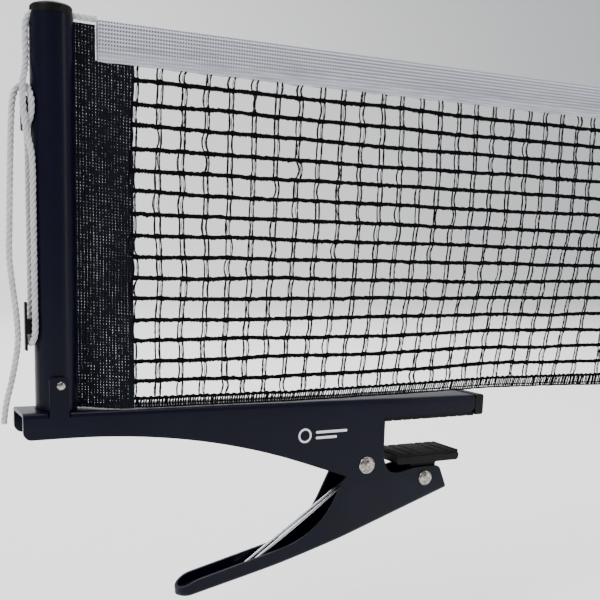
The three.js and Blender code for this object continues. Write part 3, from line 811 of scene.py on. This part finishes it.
def make_spring():
    """One wire in two pieces that meet in the coils, so that the handle can turn."""
    start = leaving_angle(MIDDLE_LEG_TIP, 1)
    end = leaving_angle(OUTER_LEG_TIP, -1) + 4 * math.pi
    half_way = (start + end) / 2

    def coil(a0, a1):
        angles = np.arange(a0, a1, math.radians(9))
        angles = np.append(angles, a1)
        y = COIL_Y + (angles - start) / (2 * math.pi) * COIL_PITCH
        x = PIVOT[0] + COIL_RADIUS * np.cos(angles)
        z = PIVOT[2] + COIL_RADIUS * np.sin(angles)
        return point_rows(x, y, z)

    inner = coil(start, half_way + SPRING_OVERLAP)
    tip = np.array([MIDDLE_LEG_TIP[0], SPRING_FINGER_Y, MIDDLE_LEG_TIP[1]])
    leg = np.linspace(tip, inner[0], 40)[:-1]
    away = (tip - inner[0]) / np.linalg.norm(tip - inner[0])
    bend = []
    for angle in np.linspace(0, math.pi / 2, 9):
        out = SPRING_BEND * math.cos(angle)
        bend.append([tip[0] + away[0] * out, SPRING_FINGER_Y * math.sin(angle), tip[2] + away[2] * out])
    right = np.vstack([bend[1:-1], leg, inner])
    left = (right * [1, -1, 1])[::-1]
    lever_wire = even(np.vstack([left, [bend[0]], right]), 0.6)
    piece = from_points("spring_middle_leg", *tubes([lever_wire], [WIRE_RADIUS * 0.985], 14), ZINC)
    place(piece, "lever", "torsion_spring")

    outer = coil(half_way, end)
    outer_tip = np.array([OUTER_LEG_TIP[0], outer[-1][1], OUTER_LEG_TIP[1]])
    leg = np.linspace(outer[-1], outer_tip, 40)[1:]
    wire = even(np.vstack([outer, leg]), 0.6)
    piece = from_points("spring_outer_legs", *tubes([wire, wire * [1, -1, 1]], [WIRE_RADIUS] * 2, 14), ZINC)
    place(piece, "arm")


make_spring()


# ---- post, cap and plug
def slotted_arc(radius):
    """Points round the post from one side of its slot to the other."""
    start = math.asin(SLOT_WIDTH / 2 / radius)
    angles = np.linspace(start, 2 * math.pi - start, 121)
    return [(POST_X + radius * math.cos(angle), radius * math.sin(angle)) for angle in angles]


def make_post():
    """A round tube slotted for the net, with a hole and a notch for the cord near its top."""
    ring = slotted_arc(POST_RADIUS) + slotted_arc(POST_RADIUS - POST_WALL)[::-1]
    tube = prism("z", ring, POST_BOTTOM, POST_TOP)
    tube = combine(
        tube,
        bar("x", 1.6, POST_X - 12, POST_X, (0, 150.2)),
        block(POST_X - 12, POST_X, -1.6, 1.6, 150.2, POST_TOP + 1),
        drill(1.3, middle_mm("post_rivet"), 24),
    )
    place(machined("post_tube_shell", tube, NAVY, 0.4), "arm", "post_tube")


make_post()


def make_cap():
    """A crowned plug in the post's top, grooved for the cord."""
    low, high = box_mm("post_cap")
    rim, shoulder, fillet = POST_TOP + 0.15, 154.5, 1.1
    plug, outer = POST_RADIUS - POST_WALL - 0.2, POST_RADIUS - 0.3
    profile = [(0, low[2]), (plug, low[2]), (plug, rim), (outer, rim), (outer, shoulder)]
    flat = outer - fillet
    for k in range(1, 7):
        angle = math.pi / 2 * k / 6
        profile.append((flat + fillet * math.cos(angle), shoulder + fillet * math.sin(angle)))
    top = shoulder + fillet
    for k in range(1, 8):
        profile.append((flat * (1 - k / 7), top + (high[2] - top) * (1 - (1 - k / 7) ** 2)))
    groove_top = CORD_Z + 1.35
    mesh = combine(
        lathe(profile, (POST_X, 0, 0), "z", 72),
        block(POST_X - 12, POST_X + 12, -1.5, 1.5, POST_TOP - 0.1, groove_top),
        block(POST_X - 12, POST_X - 3, -1.6, 1.6, 147, CORD_Z),
    )
    place(machined("post_cap_moulding", mesh, PLASTIC, 0.18, 2), "arm", "post_cap")


make_cap()


# ---- cleats
def make_cleat(node):
    """A small rail on a stem, which pegs into the post."""
    low, high = box_mm(node)
    z = (low[2] + high[2]) / 2
    bar_in, bar_out = POST_X - 10.35, POST_X - 11.25
    outline = [(bar_out, low[2], 0.5), (bar_in, low[2], 0.3), (bar_in, high[2], 0.3), (bar_out, high[2], 0.5)]
    rail = prism("y", outline, -1.1, 1.1)
    stem = block(bar_in - 0.3, POST_X - 8.4, -2.1, 2.1, z - 2.8, z + 2.8)
    foot = block(POST_X - 8.55, POST_X - POST_RADIUS - 0.2, -2.1, 2.1, z - 3.2, z + 3.2)
    peg = bar("x", 1.35, POST_X - 8.2, POST_X - 5.6, (0, z), 24)
    cleat = combine(rail, stem, foot, peg, how="UNION")
    place(machined(node + "_moulding", cleat, PLASTIC, 0.28), "arm", node)


make_cleat("cleat_upper")
make_cleat("cleat_lower")


# ---- net
NET_ROWS = 15
ROW_TOP, ROW_PITCH, ROW_LAY = 133.5, 8.05, 2.5
COLUMN_START, COLUMN_PITCH = POST_X + 30.7, 9.92
# Heights of the hem's two edges, by distance from the post
HEM_AT = (8, 60, 98, 150, 205, 240, 276, 290)
HEM_TOP = (14.8, 14.4, 14.0, 14.7, 15.7, 15.3, 14.9, 14.8)
HEM_BOTTOM = (10.8, 10.1, 9.7, 9.9, 10.7, 10.2, 9.1, 8.9)
# How far the net's foot hangs forward, and where it moves towards, which is the camera's place
SLACK = 8
SLACK_FROM = np.array([-241.0, -332.0, 72.0])


def waviness(count, scale, size):
    """A smooth random line of count values."""
    rough = noise.standard_normal(count + 4 * scale)
    window = np.hanning(2 * scale + 1)
    soft = np.convolve(rough, window / math.sqrt((window**2).sum()), mode="same")
    return size * soft[2 * scale : 2 * scale + count]


def pulled(x, z):
    """How far the columns are dragged towards the post where the netting is slack."""
    u = x - POST_X
    reach = 0.5 + 12.5 * np.clip((u - 40) / 230, 0, 1) ** 0.9
    reach = reach * (1 - 0.8 * ease((u - 262) / 22))
    return -reach * np.clip((92 - z) / 76, 0, 1) ** 1.15


def raised(x, z):
    """How far the rows ride up where the hem passes over the end of the finger."""
    u = x - POST_X
    low = np.clip((60 - z) / 40, 0, 1)
    return low * (1.8 * np.exp(-(((u - 207) / 36) ** 2)) + 0.8 * ease((u - 235) / 25))


def foot_share(x):
    """The share of the way to SLACK_FROM by which the net's foot moves at x."""
    return SLACK / -SLACK_FROM[1] * ease((x - POST_X - 6) / 20)


def slack(points):
    """The lower part of the net hangs forward of the middle and lies on the arm."""
    points = np.array(points, float)
    low = np.clip((48 - points[..., 2]) / 34, 0, 1) ** 1.5
    share = low * foot_share(points[..., 0])
    return points + share[..., None] * (SLACK_FROM - points)


def row_strings(level, index, crossings, lift):
    """Two strings twisted into one row, thicker where the columns cross it, and their radii."""
    x = np.arange(BAND_END - 0.6, ROW_END, 0.42)
    height = level + raised(x, level) + np.interp(x, crossings, lift) + waviness(len(x), 6, 0.07)
    depth = waviness(len(x), 30, 0.12)
    near = np.exp(-((np.min(np.abs(x[:, None] - crossings[None]), axis=1) / 1.3) ** 2))
    centre = point_rows(x, depth, height)
    turn = 2 * np.pi * x / ROW_LAY + 2 * index
    lines, radii = [], []
    for side in (0, np.pi):
        offset = 0.46 + 0.08 * near + waviness(len(x), 3, 0.06)
        twist = point_rows(0, offset * np.cos(turn + side), offset * np.sin(turn + side))
        lines.append(slack(centre + twist))
        lumps = waviness(len(x), 2, 0.07)
        radii.append((0.54 + 0.12 * near + lumps + 0.04 * noise.standard_normal(len(x))).clip(0.35, 0.85))
    return lines, radii


def column_threads(top_x, low_x, high, low):
    """Two loose threads between two rows, each with a finer one beside it, and their radii."""
    t = np.linspace(0, 1, 11)
    arch = np.sin(np.pi * t)
    lean = random.gauss(0, 0.45)
    lines, radii = [], []
    for side in (-0.95, 0.95):
        bow = lean + random.gauss(0, 0.25)
        x = top_x + (low_x - top_x) * t + side * (1 + random.gauss(0, 0.12)) + bow * arch
        y = random.gauss(0, 0.15) + 0.15 * arch
        line = point_rows(x, y, high + (low - high) * t)
        radii.append(0.3 + 0.05 * noise.standard_normal(len(t)))
        shift = -side * random.uniform(0.3, 0.8)
        spread = arch.clip(0) ** 0.7
        second = line + point_rows(shift * spread, 0.3 * spread, 0)
        radii.append(0.15 + 0.02 * noise.standard_normal(len(t)))
        lines += [slack(line), slack(second)]
    return lines, radii


def make_net():
    """Knitted netting: thick rows of twisted string, and columns of loose thin threads."""
    columns = int((NET_END - 5 - COLUMN_START) / COLUMN_PITCH) + 1
    levels = [ROW_TOP - ROW_PITCH * k for k in range(NET_ROWS)]
    # Where each column crosses each row
    drift = np.array([waviness(columns, 4, 0.5) for _ in range(NET_ROWS + 2)])
    for k in range(1, len(drift)):
        drift[k] = 0.75 * drift[k - 1] + 0.6 * drift[k]
    starts = COLUMN_START + COLUMN_PITCH * np.arange(columns)
    heights = [TAPE_BOTTOM + 0.6, *levels, HEM_TOP[2]]
    knots = np.array([starts + drift[k] + pulled(starts, z) for k, z in enumerate(heights)])
    lift = np.array([waviness(columns, 3, 0.22) for _ in range(NET_ROWS)])

    rows, thick, threads, thin = [], [], [], []
    for k, level in enumerate(levels):
        lines, radii = row_strings(level, k, knots[k + 1], lift[k])
        rows += lines
        thick += radii
    for j in range(columns):
        ends = [z + float(raised(knots[i][j], z)) for i, z in enumerate(heights)]
        ends[-1] = float(np.interp(knots[-1][j] - POST_X, HEM_AT, HEM_TOP))
        for k in range(len(heights) - 1):
            lines, radii = column_threads(knots[k][j], knots[k + 1][j], ends[k], ends[k + 1])
            threads += lines
            thin += radii
    points, faces = tubes(rows, thick, 6)
    thread_points, thread_faces = tubes(threads, thin, 5)
    faces += [tuple(len(points) + v for v in face) for face in thread_faces]
    piece = from_points("net_mesh_knit", np.vstack([points, thread_points]), faces, NET_YARN)
    place(piece, "arm", "net_mesh")


make_net()


def make_hem():
    """A lace hem: a string along the top, close upright threads and a double edge below."""
    xs = np.arange(BAND_END - 0.4, ROW_END, 0.45)
    bottom = np.interp(xs - POST_X, HEM_AT, HEM_BOTTOM) + 0.35 + waviness(len(xs), 12, 0.05)
    top = np.interp(xs - POST_X, HEM_AT, HEM_TOP) + waviness(len(xs), 20, 0.1)
    depth = waviness(len(xs), 40, 0.12)
    lines = [
        point_rows(xs, depth + 0.25 * np.sin(xs * 2.1), top + 0.2 * np.cos(xs * 2.1)),
        point_rows(xs, depth, top - 0.5 + 0.1 * np.sin(xs * 3.3)),
        point_rows(xs, depth, bottom + 0.06 * np.sin(xs * 4.2)),
        point_rows(xs, depth, bottom + 1.25 + 0.06 * np.sin(xs * 4.2 + 2)),
    ]
    radii = [0.46 + 0.05 * noise.standard_normal(len(xs)) for _ in range(2)]
    radii += [0.34 + 0.04 * noise.standard_normal(len(xs)), 0.3 + 0.04 * noise.standard_normal(len(xs))]
    x = BAND_END
    while x < ROW_END:
        at = int(np.clip(np.searchsorted(xs, x), 0, len(xs) - 1))
        far = min(1, max(0, (x - POST_X - 60) / 60))
        t = np.linspace(0, 1, 8)
        lean = random.gauss(0.3 + 1.0 * far, 0.2)
        bow = random.gauss(-0.35 * (1 - far), 0.15)
        height = bottom[at] + (top[at] - bottom[at]) * t
        across = x + lean * (t - 0.5) + bow * np.sin(np.pi * t)
        lines.append(point_rows(across, depth[at], height))
        radii.append(np.full(len(t), random.uniform(0.26, 0.38) + 0.06 * (1 - far)))
        x += random.uniform(0.95, 1.2)
    piece = from_points("net_hem_lace", *tubes([slack(line) for line in lines], radii, 6), NET_YARN)
    place(piece, "arm", "net_hem")


make_hem()

WALE_PITCH, COURSE_PITCH = 1.2, 1.05


def make_band():
    """The knitted side band: upright wales whose loops touch and leave rows of pinholes."""
    bottom = box_mm("net_side_band")[0][2]
    points, faces = [], []
    starts = np.arange(BAND_START, BAND_END + 0.2, WALE_PITCH)
    section = np.array(circle(1, (0, 0), 8))
    heights = np.arange(bottom - 2, TAPE_TOP - 1.4, 0.2)
    fold = waviness(len(heights), 80, 0.35)
    tilt = waviness(len(heights), 60, 0.5)
    for index, x0 in enumerate(starts):
        high = TAPE_BOTTOM + 0.4 if x0 > TAPE_START - 0.6 else TAPE_TOP - 1.7
        # The foot rises as it moves forward, so it starts that much lower
        low = arm_top(x0) + 0.3 - foot_share(x0) * (SLACK_FROM[2] - 11)
        z = heights[(heights < high) & (heights > low)]
        share = index / len(starts)
        sway = 0.35 * share * fold[: len(z)] + waviness(len(z), 10, 0.015)
        relief = share * (0.5 * np.sin(z / 23 + 4 * share) + 0.3 * np.sin(z / 9.5 - 5 * share))
        line = slack(point_rows(x0 + sway, relief, z))
        beat = np.cos(2 * np.pi * (z + tilt[: len(z)] + 0.1 * index) / COURSE_PITCH)
        open_here = (0.6 + waviness(len(z), 3, 0.35)).clip(0, 1) * (0.8 + 0.2 * np.clip(z / 120, 0, 1))
        pinhole = (0.5 - 0.5 * beat) ** 4 * open_here
        width = point_rows(0.63 - 0.145 * pinhole, 0.42 - 0.16 * pinhole, 0)
        faces += tube_faces(sum(map(len, points)), len(line), len(section))
        offset = np.pad(section, ((0, 0), (0, 1)))[None] * width[:, None]
        points.append((line[:, None] + offset).reshape(-1, 3))
    band = from_points("net_band_knit", np.vstack(points), faces, BAND_YARN)
    place(band, "arm", "net_side_band")

    # The pocket round the rod, inside the post
    rod = middle_mm("net_edge_rod")
    round_rod = np.radians(np.linspace(14, 346, 33))
    ring = [(rod[0] + 2.4 * math.cos(angle), 2.4 * math.sin(angle)) for angle in round_rod]
    ring += [(rod[0] + 1.95 * math.cos(angle), 1.95 * math.sin(angle)) for angle in round_rod[::-1]]
    pocket = machined("net_band_pocket", prism("z", ring, bottom + 0.2, 147), BAND_YARN, 0.1, 2)
    place(pocket, "arm")


make_band()


def make_binding():
    """The folded binding at the end of this length of net, with two rows of stitches."""
    low, high = box_mm("net_end_binding")
    half = [(low[0], 0.5, 0.3), (low[0] + 1, 0.75, 0.3), (high[0], 0.75, 0.7)]
    ring = rounded([(x, -y, radius) for x, y, radius in half] + half[::-1])
    rings = []
    for z in np.arange(low[2] + 0.1, high[2], 0.45):
        ripple = 0.05 * math.sin(z * 7) + 0.05 * math.sin(z * 0.31)
        rings.append(slack([(x, y * (1 + ripple) + ripple, z) for x, y in ring]))
    place(finished("net_end_tape", loft(rings), BAND_YARN, 50), "arm", "net_end_binding")
    lines = []
    for x in (low[0] + 0.6, high[0] - 0.8):
        z = low[2] + 1
        while z < high[2] - 3:
            t = np.linspace(0, 1, 7)
            for side in (-1, 1):
                y = side * (0.72 + 0.14 * np.sin(np.pi * t))
                lines.append(slack(point_rows(x, y, z + 2.0 * t)))
            z += 2.7
    piece = from_points("net_end_stitches", *tubes(lines, [0.13] * len(lines), 5), NET_YARN)
    place(piece, "arm")


make_binding()


# ---- tape along the top of the net
def make_tape():
    """White woven tape folded over the top of the net, with ribs along its length."""
    fold_radius = 1.45
    fold_z = TAPE_TOP - fold_radius
    side_z = np.arange(TAPE_BOTTOM, fold_z, 0.26)
    front = [(-(1.05 + 0.4 * (z - TAPE_BOTTOM) / (fold_z - TAPE_BOTTOM)), z) for z in side_z]
    over = np.linspace(0, math.pi, 17)
    arc = [(-fold_radius * math.cos(a), fold_z + fold_radius * math.sin(a)) for a in over]
    outer = np.array([*front, *arc, *[(-y, z) for y, z in reversed(front)]])
    inner = []
    thickness = 0.45
    for y, z in ((-1.05, TAPE_BOTTOM), (-1.2, 144), (-fold_radius, fold_z)):
        inner.append((y + thickness, z + 0.02))
    top_arc = [(-1.0 * math.cos(a), fold_z + 1.0 * math.sin(a)) for a in np.linspace(0.3, math.pi - 0.3, 7)]
    inner = np.array([*inner, *top_arc, *[(-y, z) for y, z in reversed(inner)]])[::-1]

    normals = np.gradient(outer, axis=0)
    normals = point_rows(-normals[:, 1], normals[:, 0])
    normals /= np.linalg.norm(normals, axis=1)[:, None]
    xs = np.arange(TAPE_START, NET_END + 0.01, TAPE_DOT / 4)
    long_wave = waviness(len(xs), 60, 0.22)
    edge_wave = waviness(len(xs), 14, 0.16)
    along = length_along(outer)
    rings = []
    for i, x in enumerate(xs):
        ribs = np.cos(2 * np.pi * along / TAPE_RIB)
        dots = 0.1 * (1 if i % 2 else -1) * (0.5 - 0.5 * ribs)
        into = x - TAPE_START
        crease_z = TAPE_BOTTOM + 3.4 - 0.03 * into
        crease = 0.3 * np.exp(-((outer[:, 1] - crease_z) / 0.55) ** 2) * math.exp(-into / 26)
        height = 0.2 * ribs + dots - crease + 0.03 * noise.standard_normal(len(outer))
        ring = outer + normals * height[:, None]
        low = (1 - (ring[:, 1] - TAPE_BOTTOM) / (TAPE_TOP - TAPE_BOTTOM)).clip(0, 1)
        ring[:, 1] += edge_wave[i] * low**3
        ring[:, 0] += long_wave[i] * low
        inside = inner.copy()
        inside[:, 0] += long_wave[i] * 0.6
        loop = np.vstack([ring, inside])
        # The cut end by the post is slightly ragged
        ragged = 0.25 * noise.standard_normal(len(loop)) if i == 0 else np.zeros(len(loop))
        rings.append(point_rows(x + ragged.clip(0, 0.6), loop[:, 0], loop[:, 1]))
    count = len(rings[0])
    faces = ring_faces(0, len(rings), count)
    last = count * (len(rings) - 1)
    for face in end_faces(len(outer), len(inner)):
        faces += [face[::-1], tuple(last + v for v in face)]
    tape = from_points("net_top_tape", np.vstack(rings), faces, TAPE, 60)
    place(tape, "arm", "net_tape")


def end_faces(outer_count, inner_count):
    """Triangles that close an end between an outer row and the inner row that runs back."""
    faces = []
    i, j = 0, 0
    last_i, last_j = outer_count - 1, inner_count - 1
    while i < last_i or j < last_j:
        opposite = outer_count + last_j - j
        if j == last_j or (i < last_i and i / last_i <= j / last_j):
            faces.append((i, i + 1, opposite))
            i += 1
        else:
            faces.append((i, opposite - 1, opposite))
            j += 1
    return faces


make_tape()


# ---- printed mark on the arm
def make_mark():
    """A plain pad print on the front: a ring and two bars."""
    front, back = ARM_HALF_WIDTH + 0.05, ARM_HALF_WIDTH - 0.03
    middle, sides = (POST_X + 102, -3.6), 48
    loops = ((3.1, back), (3.1, front), (2.3, front), (2.3, back))
    points = [(x, -depth, z) for radius, depth in loops for x, z in circle(radius, middle, sides)]
    faces = ring_faces(0, len(loops), sides)
    last = len(points) - sides
    faces += [(last + k, last + (k + 1) % sides, (k + 1) % sides, k) for k in range(sides)]
    left = middle[0] + 5.2
    for length, lift in ((15.3, 1.1), (10.3, -1.3)):
        right, low, high = left + length, middle[1] + lift - 0.55, middle[1] + lift + 0.55
        outline = rounded([(left, low, 0.5), (right, low, 0.5), (right, high, 0.5), (left, high, 0.5)], 15)
        faces += tube_faces(len(points), 2, len(outline))
        points += [(x, -depth, z) for depth in (back, front) for x, z in outline]
    mesh = part_mesh(points, faces)
    mesh.transform(Matrix.Scale(MM, 4))
    place(link("arm_print", mesh, INK), "arm")


make_mark()


# ---- finishes of the sleeve, rod and plug
KEPT = {"pivot_sleeve": NICKEL, "net_edge_rod": ZINC, "post_foot_plug": PLASTIC}
for node, material in KEPT.items():
    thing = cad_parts[node]
    for slot in thing.material_slots:
        slot.material = material


# ---- floor, backdrop and light
def make_stage():
    """A pale floor that curves up into a backdrop."""
    m = Nodes("floor_paper")
    grain = m.noise(3, 3)
    m.set(Base_Color=m.colours(grain, (0.3, (0.86, 0.86, 0.87)), (0.7, (0.9, 0.9, 0.9))), Roughness=0.8)
    m.set(Specular_IOR_Level=0.1)
    low = cad_low[2] / MM - 60
    reach, rise, bend = 3500, 2600, 900
    flat = reach - bend
    angles = np.linspace(0.1, math.pi / 2, 12)
    curve = [(flat + bend * math.sin(angle), bend - bend * math.cos(angle)) for angle in angles]
    profile = [(-reach, 0), (flat, 0), *curve, (reach, rise)]
    points = [(x, y, low + z) for y, z in profile for x in (-2 * reach, 2 * reach)]
    faces = [(k, k + 1, k + 3, k + 2) for k in range(0, 2 * len(profile) - 2, 2)]
    from_points("floor", points, faces, m.material)


def area_light(name, at, towards, size, power):
    data = bpy.data.lights.new(name, "AREA")
    data.shape, data.size, data.size_y = "RECTANGLE", size[0], size[1]
    data.energy = power
    lamp = added(name, data)
    lamp.location = Vector(at)
    lamp.rotation_euler = (Vector(towards) - lamp.location).to_track_quat("-Z", "Y").to_euler()


def make_light():
    world = bpy.data.worlds.new("studio")
    bpy.context.scene.world = world
    world.use_nodes = True
    world.node_tree.nodes["Background"].inputs["Color"].default_value = (0.95, 0.97, 1, 1)
    world.node_tree.nodes["Background"].inputs["Strength"].default_value = 0.55
    area_light("key", (-1.3, -0.7, 1.3), (-0.05, 0, 0.05), (0.5, 0.5), 20)
    area_light("overhead", (0.2, 1.0, 2.2), (0.1, 0.9, 0), (2.6, 2.2), 125)
    area_light("right_strip", (0.9, -0.75, 0.35), (-0.1, 0, 0.05), (0.1, 1.2), 3)


make_stage()
make_light()
